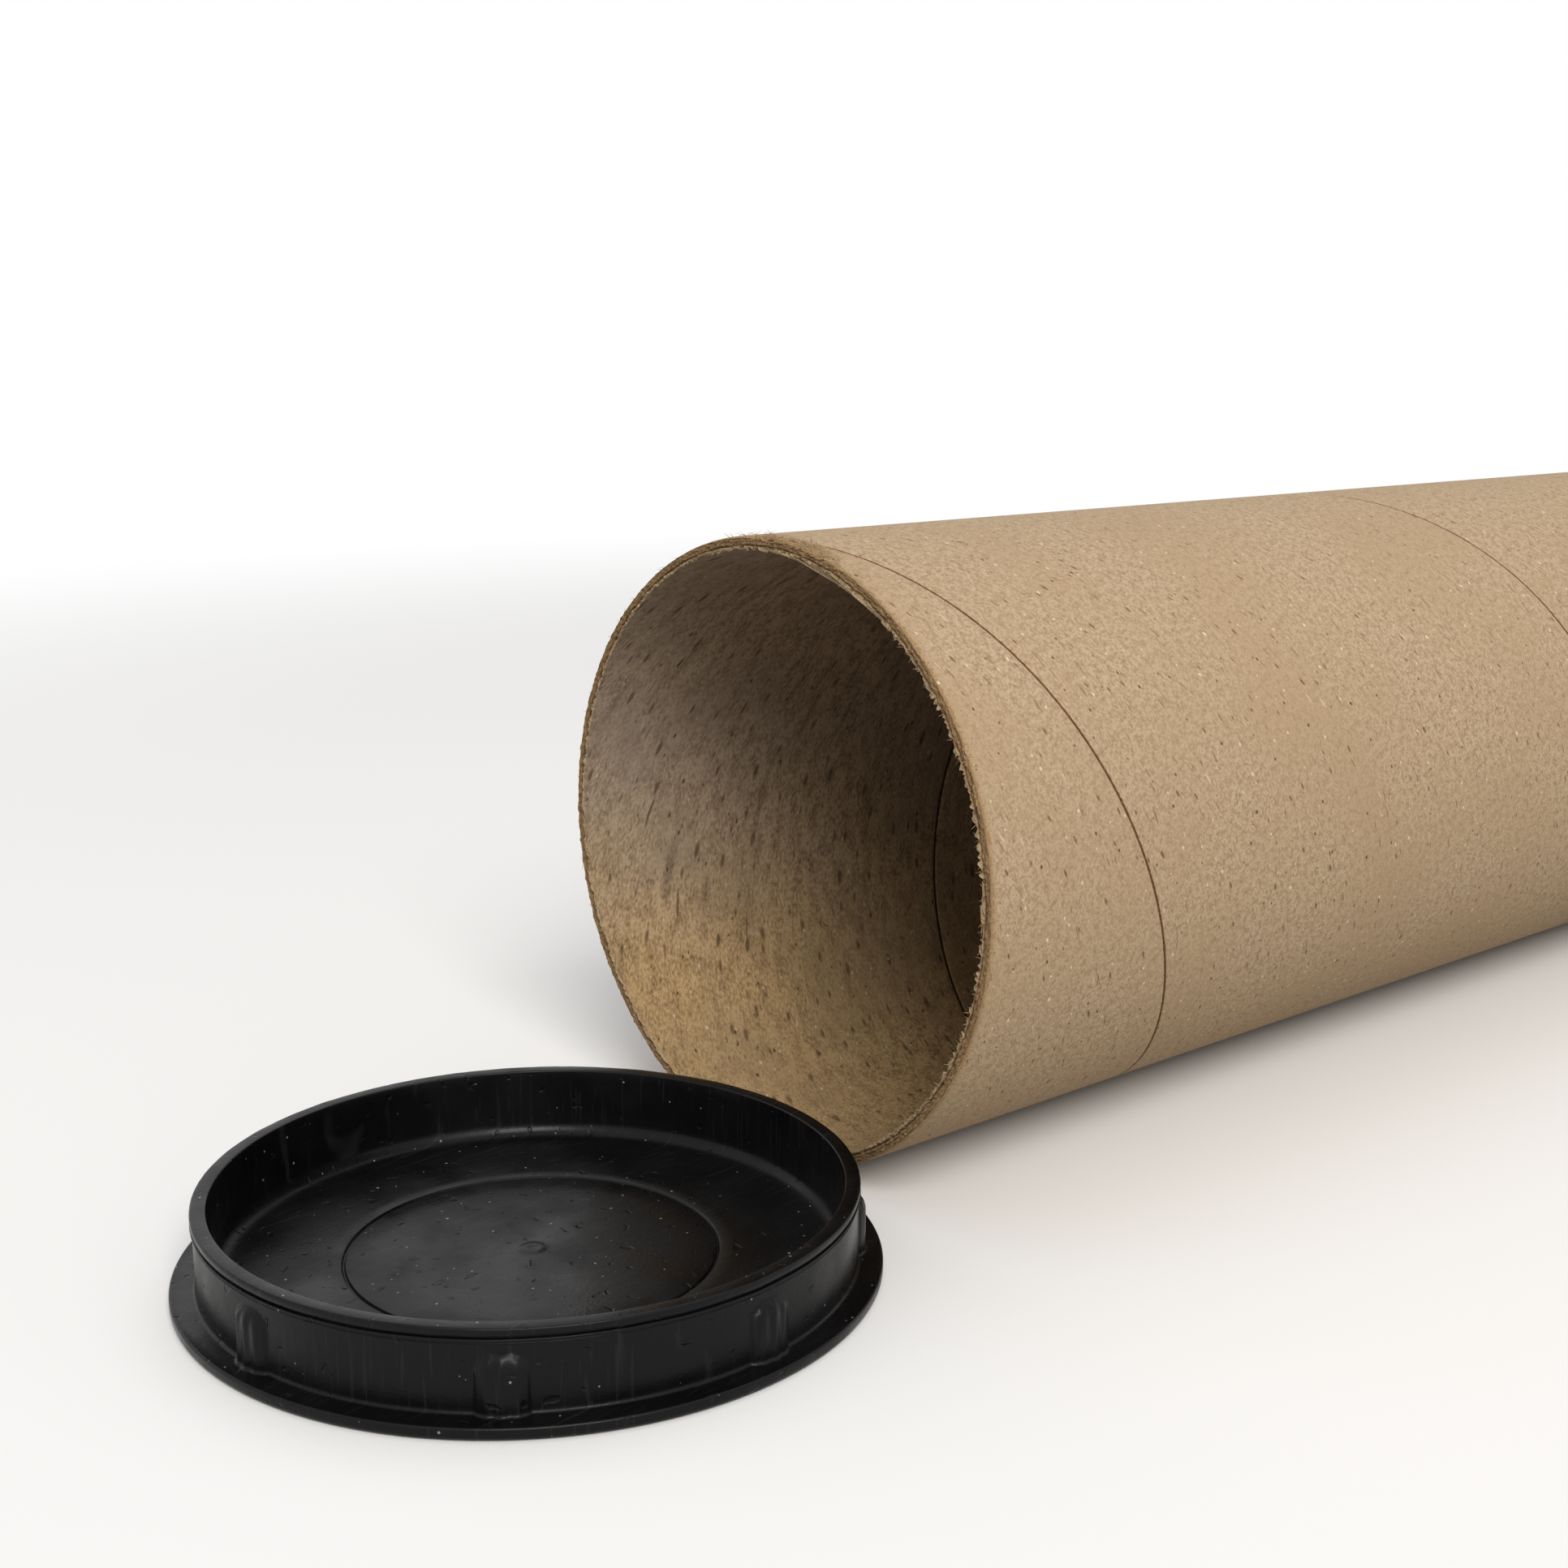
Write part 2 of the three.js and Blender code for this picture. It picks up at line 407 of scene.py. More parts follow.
@dataclass(frozen=True)
class SawnPaperEdge:
    """The sawn edge of glued plies: torn fibre in bands, darker where one ply parts from the next.

    The saw leaves a dull fuzz: painted shade darkens its hollows, and its raised fibre is paler, partly
    as the fibre ends' own colour and partly as a painted highlight.
    """

    name: str
    bands: tuple[tuple[float, str], ...]
    # Painted shade: the darker colour laid in the hollows of the fuzz.
    dark: str = "6E553A"
    hollow_shade_reach: tuple[float, float, float] = (0.47, 0.3, 0.7)
    # The paler colour on the fuzz's crests: partly pale fibre ends, partly a painted highlight.
    pale: str = "B89E7B"
    pale_fibre_and_highlight_reach: tuple[float, float, float] = (0.55, 0.72, 0.6)
    fibre_mm: float = 0.32
    # How far a band's edge strays, and how many times in a millimetre.
    ragged_mm: float = 0.22
    ragged_rate: float = 1.6
    relief_mm: float = 0.08
    wall_mm: float = WALL_MM

    def material(self) -> bpy.types.Material:
        """Makes the edge, with its bands set by the depth into the wall."""
        material, tree = new_material(self.name)
        place = add(tree, "UVMap", {"uv_map": PLY_UV})
        ragged = cloudy(tree, place, self.ragged_rate, 3.0, noise_dimensions="2D")
        depth = add(tree, "SeparateXYZ", {}, {"Vector": place})
        shifted = reckon(tree, "MULTIPLY_ADD", ragged, self.ragged_mm, depth.outputs["Y"])
        first = self.ragged_mm / 2
        share = ranged(tree, shifted, first, self.wall_mm + first)
        ramp = add(tree, "ValToRGB", {}, {"Fac": share})
        stops = ramp.color_ramp.elements
        stops[0].position, stops[0].color = self.bands[0][0], linear(self.bands[0][1])
        stops[1].position, stops[1].color = self.bands[-1][0], linear(self.bands[-1][1])
        for position, code in self.bands[1:-1]:
            stops.new(position).color = linear(code)
        fibre = cloudy(tree, place, 1 / self.fibre_mm, 3.0, noise_dimensions="2D", Roughness=0.65)
        colour = ramp
        # Painted shade in the pattern's hollows, then a paler colour on its crests, partly fibre colour
        # and partly a painted highlight.
        for code, reach in ((self.dark, self.hollow_shade_reach), (self.pale, self.pale_fibre_and_highlight_reach)):
            colour = lay_over(tree, colour, code, fibre, reach)
        sheen = {"Roughness": 0.95, "Specular IOR Level": 0.2}
        surface(tree, colour, fibre, (0.6, self.relief_mm), sheen)
        return material


@dataclass(frozen=True)
class MouldedPolyethylene:
    """Black low-density polyethylene, injection moulded: a waxy satin with scuffs and dust.

    The carbon black leaves hardly any colour, so the gloss and its unevenness give the form.
    Dust is far finer than a pixel, and is drawn as specks of a few tenths of a millimetre.
    """

    name: str
    centre: Vector
    turn: tuple[float, float, float]
    base: str = "09090A"
    worn: str = "232324"
    roughness_low: float = 0.24
    roughness_high: float = 0.44
    gloss: float = 0.17
    ior: float = 1.51
    # The mould's slow unevenness, with the values that give the two roughnesses, and its skin.
    flow_mm: float = 9.0
    flow_reach: tuple[float, float] = (0.35, 0.65)
    skin_mm: float = 0.5
    skin_share: float = 0.25
    relief_mm: float = 0.16
    scratch_mm: float = 0.35
    scratch_turn: float = 0.9
    scratch_reach: tuple[float, float, float] = (0.6, 0.72, 0.6)
    dust: str = "A9A59E"
    dust_mm: float = 1.7
    dust_thinning: float = 0.12
    dust_reach: tuple[float, float, float] = (0.12, 0.09, 0.65)
    pock_mm: float = 1.7
    pock_reach: tuple[float, float, float] = (0.68, 0.75, 0.9)

    def material(self) -> bpy.types.Material:
        """Makes the plastic, with its patterns centred and turned as the cap is."""
        material, tree = new_material(self.name)
        place = add(tree, "TexCoord").outputs["Object"]
        place = add(
            tree,
            "Mapping",
            {"vector_type": "TEXTURE", "Location": self.centre, "Rotation": self.turn},
            {"Vector": place},
        )
        flow = cloudy(tree, place, 1 / (self.flow_mm * MM), 3.0, Roughness=0.55)
        skin = cloudy(tree, place, 1 / (self.skin_mm * MM), 2.0)
        long_way, short_way = 1 / (self.flow_mm * MM), 1 / (self.scratch_mm * MM)
        scratch_place = add(
            tree,
            "Mapping",
            {"Rotation": (0.0, 0.0, self.scratch_turn), "Scale": (long_way, short_way, long_way)},
            {"Vector": place},
        )
        scratches = cloudy(tree, scratch_place, 1.0, 2.0, Distortion=0.4)
        start, full, most = self.scratch_reach
        scratched = ranged(tree, scratches, start, full, high=most)
        tints = {"data_type": "RGBA", 6: linear(self.base), 7: linear(self.worn)}
        tinted = add(tree, "Mix", tints, {0: scratched})
        grit = add(tree, "TexVoronoi", {"Scale": 1 / (self.dust_mm * MM)}, {"Vector": place})
        tone, distance = grit.outputs["Color"], grit.outputs["Distance"]
        sparse = reckon(tree, "MULTIPLY_ADD", tone, self.dust_thinning, distance)
        colour = lay_over(tree, tinted, self.dust, sparse, self.dust_reach)
        gloss = ranged(tree, flow, *self.flow_reach, self.roughness_low, self.roughness_high)
        relief = add(tree, "Mix", {"data_type": "FLOAT", 0: self.skin_share}, {2: flow, 3: skin})
        pock = cloudy(tree, place, 1 / (self.pock_mm * MM), 1.0, Distortion=0.5)
        start, full, most = self.pock_reach
        height = reckon(tree, "SUBTRACT", relief, ranged(tree, pock, start, full, high=most))
        sheen = {"Specular IOR Level": self.gloss, "IOR": self.ior}
        surface(tree, colour, height, (0.5, self.relief_mm), sheen, Roughness=gloss)
        return material


@dataclass(frozen=True)
class SeamlessPaper:
    """Pale matt paper for the floor, which turns to plain white far from the object.

    It keeps the object's soft shadow, and throws less light up than it shows.
    """

    name: str = "pale_seamless_paper"
    shade: str = "FFFFFF"
    bounce: str = "B4B1AC"
    fibre_scale: float = 900.0
    clear_from: float = 0.3
    clear_to: float = 0.8

    def material(self) -> bpy.types.Material:
        """Makes the floor's paper."""
        material, tree = new_material(self.name)
        place = add(tree, "TexCoord").outputs["Object"]
        fibre = cloudy(tree, place, self.fibre_scale, 2.0)
        bump = add(tree, "Bump", {"Strength": 0.1, "Distance": 0.02 * MM}, {"Height": fibre})
        seen = in_sight(tree)
        tints = {"data_type": "RGBA", 6: linear(self.bounce), 7: linear(self.shade)}
        tone = add(tree, "Mix", tints, {0: seen})
        paper = add(tree, "BsdfDiffuse", {}, {"Color": tone, "Normal": bump})
        glow = add(tree, "Emission", {"Color": (1, 1, 1, 1), "Strength": 1.0})
        reach = add(tree, "VectorMath", {"operation": "LENGTH"}, {0: place})
        far = ranged(tree, reach, self.clear_from, self.clear_to, soft=True)
        share = reckon(tree, "MULTIPLY", seen, far)
        mixed = add(tree, "MixShader", {}, {0: share, 1: paper, 2: glow})
        add(tree, "OutputMaterial", {}, {"Surface": mixed})
        return material


def finished_object(
    name: str, shape: bmesh.types.BMesh, materials: list[bpy.types.Material], sharp_degrees: float
) -> bpy.types.Object:
    """Turns a bmesh to an object at the origin, smooth but for its sharp edges.

    Args:
        name: The object's name.
        shape: The bmesh, in its place in the frame. It is freed.
        materials: The object's materials, in the order of the faces' indices.
        sharp_degrees: An edge that turns more than this is shaded sharp.

    Returns:
        The object, linked to the scene.
    """
    mesh = bpy.data.meshes.new(name)
    for face in shape.faces:
        face.smooth = True
    shape.to_mesh(mesh)
    shape.free()
    for material in materials:
        mesh.materials.append(material)
    mesh.set_sharp_from_angle(angle=math.radians(sharp_degrees))
    piece = bpy.data.objects.new(name, mesh)
    bpy.context.scene.collection.objects.link(piece)
    log.info("%s: %d vertices, %d faces", name, len(mesh.vertices), len(mesh.polygons))
    return piece


@dataclass(frozen=True)
class WoundPly:
    """A paper strip wound edge to edge round the tube's axis, whose butt seam is a helical groove."""

    side: Wind
    radius: float
    start_degrees: float
    pitch: float
    gap: float = 0.4
    depth: float = 0.3
    shoulder: float = 0.5
    shoulder_drop: float = 0.05
    settled: float = 1.6
    column: float = 14.0

    def lead(self, angle: float) -> float:
        """Gives how far the seam is along the tube at an angle, in millimetres from the mouth."""
        return self.pitch * (angle - math.radians(self.start_degrees)) / TURN

    def inward(self) -> float:
        """Gives 1 where the groove cuts towards the axis and -1 where it cuts outwards."""
        return 1.0 if self.side is Wind.OUTSIDE else -1.0

    def across(self, along: float, angle: float) -> tuple[float, int]:
        """Finds a point on the strip.

        Args:
            along: Millimetres from the mouth.
            angle: Radians from the top, from 0 to a full turn.

        Returns:
            Millimetres past the seam that starts this turn of the strip, and the turn's number.
        """
        turns = math.floor((along - self.lead(angle)) / self.pitch)
        return along - self.lead(angle) - turns * self.pitch, turns

    def dip(self, past_seam: float) -> float:
        """Gives how deep the seam's groove is at a distance past the seam, in millimetres."""
        off = min(past_seam, self.pitch - past_seam)
        half = self.gap / 2
        if off < half:
            return self.depth + (self.shoulder_drop - self.depth) * off / half
        if off < self.shoulder:
            return self.shoulder_drop * (self.shoulder - off) / (self.shoulder - half)
        return 0.0

    def section(self) -> list[float]:
        """Gives where the strip's section has its points, in millimetres past the seam."""
        half = self.gap / 2
        edge = [0.0, half, self.shoulder, self.settled]
        flat = self.pitch - 2 * self.settled
        count = round(flat / self.column)
        middle = [self.settled + flat * i / count for i in range(1, count)]
        return edge + middle + [self.pitch - p for p in reversed(edge)]


@dataclass
class WoundTube:
    """The paperboard body: two faced plies, sawn square at both ends, frayed at the mouth."""

    mouth_x: float
    far_x: float
    axis_y: float
    axis_z: float
    outer_radius: float
    bore_radius: float
    outer_face: KraftPaper
    inner_face: KraftPaper
    edge: SawnPaperEdge
    # The two seam finishes are the cut ply edge's brown, darkened as painted shade in the grooves.
    seam: KraftPaper
    inner_seam: KraftPaper
    fibre: KraftPaper
    outer_seam_degrees: float = 1.6
    inner_seam_degrees: float = 35.0
    ply_width: float = 101.6
    # Sweep steps in a turn, turns wound before the mouth and cut off, and the merging distance.
    steps: int = 144
    spare_turns: int = 2
    weld_mm: float = 0.01
    # Cuts beside each end, in millimetres from it. The mouth's first ones are divided further.
    fine_rings: tuple[float, ...] = (0.12, 0.3, 0.6, 1.0, 1.6, 2.4)
    soft_rings: tuple[float, ...] = (3.6, 5.4, 8.0)
    fine_cuts: int = 7
    # The outer corner of a sawn end is rubbed down, and its ripple reaches a little further in.
    corner_wear: float = 0.2
    corner_reach: float = 0.24
    ripple: float = 0.06
    ripple_reach: float = 0.5
    tooth_reach: float = 0.4
    inner_bow: float = 0.03
    far_calm: float = 0.3
    # The knocked place at the top of the mouth.
    scuff_degrees: float = 8.0
    scuff_round: float = 10.0
    scuff_along: float = 2.8
    # The sawn edge's rings: share of the wall, depth in mm and roughness in mm.
    edge_rings: tuple[tuple[float, float, float], ...] = (
        (0.95, -0.02, 0.12),
        (0.86, -0.04, 0.22),
        (0.80, 0.03, 0.18),
        (0.74, -0.03, 0.24),
        (0.64, -0.04, 0.26),
        (0.58, 0.04, 0.2),
        (0.52, -0.03, 0.26),
        (0.42, -0.05, 0.28),
        (0.34, -0.02, 0.26),
        (0.29, 0.4, 0.2),
        (0.24, 0.4, 0.2),
        (0.19, -0.06, 0.32),
        (0.08, -0.08, 0.38),
    )
    ring_step: float = 0.02
    parting_depth: float = 0.3
    fibre_count: int = 760
    fibre_seed: int = 41
    plies: list[WoundPly] = field(default_factory=list)

    def __post_init__(self) -> None:
        """Works out the two wound faces from the strip's width."""
        round_mm = TURN * self.outer_radius / MM
        pitch = self.ply_width * round_mm / math.sqrt(round_mm**2 - self.ply_width**2)
        self.plies = [
            WoundPly(Wind.OUTSIDE, self.outer_radius / MM, self.outer_seam_degrees, pitch),
            WoundPly(Wind.INSIDE, self.bore_radius / MM, self.inner_seam_degrees, pitch),
        ]

    def polar(self, point: Vector) -> tuple[float, float, float]:
        """Reads a point as millimetres from the mouth, radians from the top and radius in mm."""
        across, up = point.y - self.axis_y, point.z - self.axis_z
        return (point.x - self.mouth_x) / MM, math.atan2(-across, up) % TURN, math.hypot(across, up) / MM

    def point(self, along: float, angle: float, radius: float) -> Vector:
        """Gives the point in the frame for millimetres from the mouth, an angle and a radius in mm."""
        return Vector(
            (
                self.mouth_x + along * MM,
                self.axis_y - math.sin(angle) * radius * MM,
                self.axis_z + math.cos(angle) * radius * MM,
            )
        )

    def scuff(self, along: float, angle: float) -> float:
        """Gives how torn the outer face is, from 0 to 1, in the knocked place at the mouth's top."""
        away = (angle - math.radians(self.scuff_degrees) + math.pi) % TURN - math.pi
        arc = away * self.outer_radius / MM
        far = math.hypot(arc / self.scuff_round, along / self.scuff_along)
        return max(0.0, 1.0 - far) ** 0.7

    def tooth(self, angle: float) -> float:
        """Gives how far the torn bore edge stands back, or out where it is negative, in millimetres."""
        bore = self.bore_radius / MM
        lumps = wander(angle, bore, 0.52, 9.4) + 0.9 * wander(angle, bore, 0.33, 1.4)
        torn = 0.22 + 0.68 * max(0.0, math.sin(angle + 0.5))
        return torn * max(-0.5, min(0.25, 0.04 - 0.8 * lumps))

    def surface_radius(self, ply: WoundPly, along: float, angle: float) -> float:
        """Gives a face's radius with its seam, its lumps and its wear at the cut ends.

        Args:
            ply: The wound face.
            along: Millimetres from the mouth.
            angle: Radians from the top.

        Returns:
            The radius in millimetres.
        """
        sign = ply.inward()
        past, _ = ply.across(along, angle)
        radius = ply.radius - sign * ply.dip(past)
        length = (self.far_x - self.mouth_x) / MM
        end = max(min(along, length - along), 0.0)
        if ply.side is Wind.OUTSIDE:
            radius -= self.corner_wear * math.exp(-end / self.corner_reach)
            rippled = self.ripple * math.exp(-end / self.ripple_reach)
            radius -= rippled * (1 + wander(angle, radius, 0.8, 3.1))
            torn = self.scuff(along, angle)
            radius -= torn * (0.16 + 0.5 * wander(angle, radius, 0.65, along * 1.7))
        else:
            near = math.exp(-end / self.tooth_reach)
            radius += near * self.tooth(angle) * (self.far_calm if along > length / 2 else 1.0)
            radius -= self.inner_bow * noise.noise(Vector((along / 6, radius * angle / 9, 0.3)))
        return radius

    def wind(self, ply: WoundPly) -> bmesh.types.BMesh:
        """Winds one face: the strip's section swept along the helix, then sawn and refined.

        Args:
            ply: The face to wind.

        Returns:
            An open surface from the mouth to the far end.
        """
        shape = bmesh.new()
        length = (self.far_x - self.mouth_x) / MM
        before = self.spare_turns * ply.pitch
        turns = self.spare_turns + math.ceil(length / ply.pitch) + 1
        start = math.radians(ply.start_degrees)
        section = [
            shape.verts.new(self.point(past - before, start, ply.radius - ply.inward() * ply.dip(past)))
            for past in ply.section()
        ]
        strip = [shape.edges.new(pair) for pair in zip(section, section[1:])]
        bmesh.ops.spin(
            shape,
            geom=section + strip,
            cent=(0.0, self.axis_y, self.axis_z),
            axis=(1.0, 0.0, 0.0),
            dvec=(ply.pitch * MM / self.steps, 0.0, 0.0),
            angle=TURN * turns,
            steps=self.steps * turns,
            use_merge=False,
            use_duplicate=False,
        )
        bmesh.ops.remove_doubles(shape, verts=shape.verts[:], dist=self.weld_mm * MM)
        self.saw(shape, self.mouth_x, clear_inner=True)
        self.saw(shape, self.far_x, clear_outer=True)
        for reach in self.fine_rings + self.soft_rings:
            self.saw(shape, self.mouth_x + reach * MM)
            self.saw(shape, self.far_x - reach * MM)
        limit = (self.fine_rings[-1] + self.weld_mm) * MM
        ring_edges = [
            edge
            for edge in shape.edges
            if abs(edge.verts[0].co.x - edge.verts[1].co.x) < TOUCH / 10
            and edge.verts[0].co.x - self.mouth_x < limit
        ]
        bmesh.ops.subdivide_edges(
            shape, edges=ring_edges, cuts=self.fine_cuts, use_grid_fill=True, use_only_quads=False
        )
        for vert in shape.verts:
            along, angle, _ = self.polar(vert.co)
            vert.co = self.point(along, angle, self.surface_radius(ply, along, angle))
        return shape

    def saw(
        self, shape: bmesh.types.BMesh, x: float, clear_inner: bool = False, clear_outer: bool = False
    ) -> None:
        """Cuts a surface square to the tube.

        Args:
            shape: The surface.
            x: Where the cut is.
            clear_inner: Whether what lies before the cut is dropped.
            clear_outer: Whether what lies past the cut is dropped.
        """
        bmesh.ops.bisect_plane(
            shape,
            geom=shape.verts[:] + shape.edges[:] + shape.faces[:],
            dist=TOUCH,
            plane_co=(x, 0.0, 0.0),
            plane_no=(1.0, 0.0, 0.0),
            clear_inner=clear_inner,
            clear_outer=clear_outer,
        )

    def close_end(self, shape: bmesh.types.BMesh, x: float, outward: float, seed: float) -> None:
        """Closes the wall at one end with a layered, fibrous sawn edge.

        Args:
            shape: The joined outer and inner faces.
            x: Where the end is.
            outward: -1 at the mouth and 1 at the far end.
            seed: Picks the pattern of the fibres.
        """
        wall = (self.outer_radius - self.bore_radius) / MM
        bore = self.bore_radius / MM
        rim = [
            edge
            for edge in shape.edges
            if edge.is_boundary and all(abs(v.co.x - x) < TOUCH for v in edge.verts)
        ]
        middle = self.bore_radius + wall * MM / 2
        loop = [e for e in rim if self.polar(e.verts[0].co)[2] * MM > middle]
        bore_loop = [e for e in rim if self.polar(e.verts[0].co)[2] * MM <= middle]
        inner_ply = self.plies[1]
        calm = self.far_calm if outward > 0 else 1.0
        old_faces = set(shape.faces)
        for number, (share, deep, rough) in enumerate(self.edge_rings):
            grown = bmesh.ops.extrude_edge_only(shape, edges=loop)["geom"]
            fresh = {g for g in grown if isinstance(g, bmesh.types.BMVert)}
            loop = [
                g for g in grown if isinstance(g, bmesh.types.BMEdge) and all(v in fresh for v in g.verts)
            ]
            for vert in fresh:
                along, angle, radius = self.polar(vert.co)
                past, _ = inner_ply.across((x - self.mouth_x) / MM, angle)
                tooth = self.tooth(angle) * calm
                steps_left = len(self.edge_rings) + 1 - number
                floor = bore + inner_ply.dip(past) + tooth + self.ring_step * steps_left
                wanted = bore + wall * share + 0.12 * wander(angle, bore, 0.5, seed + number)
                wanted += tooth * max(0.0, 1 - share / 0.3)
                radius = max(min(radius - 0.01, wanted), floor)
                fuzz = wander(angle, bore, 0.42, seed * 3 + number * 1.3)
                fuzz += 0.7 * wander(angle, bore, 1.7, seed + number * 0.35)
                if deep > self.parting_depth:
                    deep_here = deep * (0.25 + 0.75 * max(0.0, -math.sin(angle + 0.3)))
                else:
                    deep_here = deep
                sunk = (deep_here + rough * fuzz) * calm
                vert.co = self.point((x - self.mouth_x) / MM - outward * sunk, angle, radius)
        bmesh.ops.bridge_loops(shape, edges=loop + bore_loop)
        layer = shape.loops.layers.uv.verify()
        for face in shape.faces:
            if face in old_faces:
                continue
            face.material_index = 2
            middle_angle = self.polar(face.calc_center_median())[1]
            for corner in face.loops:
                _, angle, radius = self.polar(corner.vert.co)
                angle = middle_angle + (angle - middle_angle + math.pi) % TURN - math.pi
                corner[layer].uv = (angle * bore, radius - bore)

    def unroll(self, shape: bmesh.types.BMesh, ply: WoundPly, index: int) -> None:
        """Gives a wound face its UV map: millimetres along and across the paper strip.

        Args:
            shape: The wound face.
            ply: Its strip.
            index: The face's material index.
        """
        layer = shape.loops.layers.uv.new(PLY_UV)
        tilt = math.atan2(ply.pitch, TURN * ply.radius)
        cos_tilt, sin_tilt = math.cos(tilt), math.sin(tilt)
        for face in shape.faces:
            face.material_index = index
            along, angle, _ = self.polar(face.calc_center_median())
            past, turns = ply.across(along, angle)
            # Faces in the groove take a seam finish, whose dark brown is partly painted shade.
            if min(past, ply.pitch - past) < ply.gap / 2:
                face.material_index = 3 + index
            for corner in face.loops:
                own_along, own_angle, _ = self.polar(corner.vert.co)
                own_angle = angle + (own_angle - angle + math.pi) % TURN - math.pi
                round_mm = ply.radius * (own_angle + TURN * turns)
                corner[layer].uv = (
                    round_mm * cos_tilt + own_along * sin_tilt,
                    own_along * cos_tilt - round_mm * sin_tilt,
                )

    def build_wall(self) -> bpy.types.Object:
        """Builds the wall as one closed shape."""
        shape = bmesh.new()
        for index, ply in enumerate(self.plies):
            wound = self.wind(ply)
            self.unroll(wound, ply, index)
            part = bpy.data.meshes.new("wound_face")
            wound.to_mesh(part)
            wound.free()
            shape.from_mesh(part)
            bpy.data.meshes.remove(part)
        self.close_end(shape, self.mouth_x, -1.0, 5.0)
        self.close_end(shape, self.far_x, 1.0, 11.0)
        bmesh.ops.recalc_face_normals(shape, faces=shape.faces[:])
        wear = shape.verts.layers.float.new(WEAR)
        for vert in shape.verts:
            along, angle, radius = self.polar(vert.co)
            if along < self.soft_rings[-1] + 1.0 and radius > self.bore_radius / MM + 1.0:
                vert[wear] = max(self.scuff(along, angle), 0.75 * math.exp(-along / 0.45))
        finishes = (self.outer_face, self.inner_face, self.edge, self.seam, self.inner_seam)
        materials = [finish.material() for finish in finishes]
        return finished_object("paper_tube", shape, materials, 50)

    def grow_fibre(self, shape: bmesh.types.BMesh, chance: random.Random, number: int) -> None:
        """Adds one thin curved fibre, rooted in the sawn edge or in the scuffed face beside it.

        Args:
            shape: The fibres so far.
            chance: Gives the random draws.
            number: Which fibre it is. Each second one lies in the scuff, and each fourth at the bore.
        """
        bore, outer = self.bore_radius / MM, self.outer_radius / MM
        torn = number % 2 == 0
        angle = chance.uniform(0, TURN)
        if torn:
            angle = math.radians(self.scuff_degrees) + chance.gauss(0, 0.13)
        radius = chance.uniform(outer - 0.5, outer) if torn else chance.uniform(bore, outer)
        if number % 4 == 1:
            radius = bore + chance.uniform(0.0, 0.2)
        length = chance.uniform(0.5, 1.3) * (1.5 if torn else 0.6)
        thick = chance.uniform(0.025, 0.05)
        known = len(shape.verts)
        made = bmesh.ops.create_cone(
            shape,
            cap_ends=True,
            segments=3,
            radius1=thick * MM,
            radius2=thick * 0.3 * MM,
            depth=length * MM,
        )
        sides = {
            edge
            for vert in made["verts"]
            for edge in vert.link_edges
            if abs(edge.verts[0].co.z - edge.verts[1].co.z) > TOUCH
        }
        bmesh.ops.subdivide_edges(shape, edges=list(sides), cuts=2)
        shape.verts.ensure_lookup_table()
        verts = shape.verts[known:]
        bend = chance.uniform(-0.45, 0.45)
        for vert in verts:
            reach = (vert.co.z / MM + length / 2) / length
            vert.co.x += bend * length * reach**2 * MM
            vert.co.z += length / 2 * MM
        lean = chance.uniform(-1.2, 1.2)
        lie = chance.uniform(0.9, 1.45) if torn else chance.uniform(-0.2, 1.1)
        out = Vector((0.0, -math.sin(angle), math.cos(angle)))
        side = Vector((0.0, -math.cos(angle), -math.sin(angle)))
        forth = Vector((-1.0, 0.0, 0.0))
        if torn and chance.random() < 0.6:
            forth = Vector((1.0, 0.0, 0.0))
        aim = forth * abs(math.cos(lie)) * 0.5 + side * math.sin(lean) * 0.9 + out * 0.12
        if radius < bore + 0.3:
            aim = forth * 0.4 + side * math.sin(lean) * 0.8 - out * 0.45
        turn = aim.to_track_quat("Z", "Y").to_matrix().to_4x4()
        root = chance.uniform(0, 2.2) if torn else chance.uniform(-0.05, 0.15)
        place = Matrix.Translation(self.point(root, angle, radius)) @ turn
        bmesh.ops.transform(shape, matrix=place, verts=verts)

    def build_fray(self) -> bpy.types.Object:
        """Builds the loose fibres that stand out of the sawn edge at the mouth, as one piece."""
        chance = random.Random(self.fibre_seed)
        shape = bmesh.new()
        for number in range(self.fibre_count):
            self.grow_fibre(shape, chance, number)
        grain = shape.loops.layers.uv.new(PLY_UV)
        for face in shape.faces:
            for corner in face.loops:
                corner[grain].uv = corner.vert.co.yz / MM
        return finished_object("mouth_fibres", shape, [self.fibre.material()], 60)

    def build(self) -> None:
        """Builds the wall and its loose fibres and fits both to the frame."""
        wall = self.build_wall()
        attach(wall, "tube_body")
        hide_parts("tube")
        fray = self.build_fray()
        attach(fray, "tube_body")


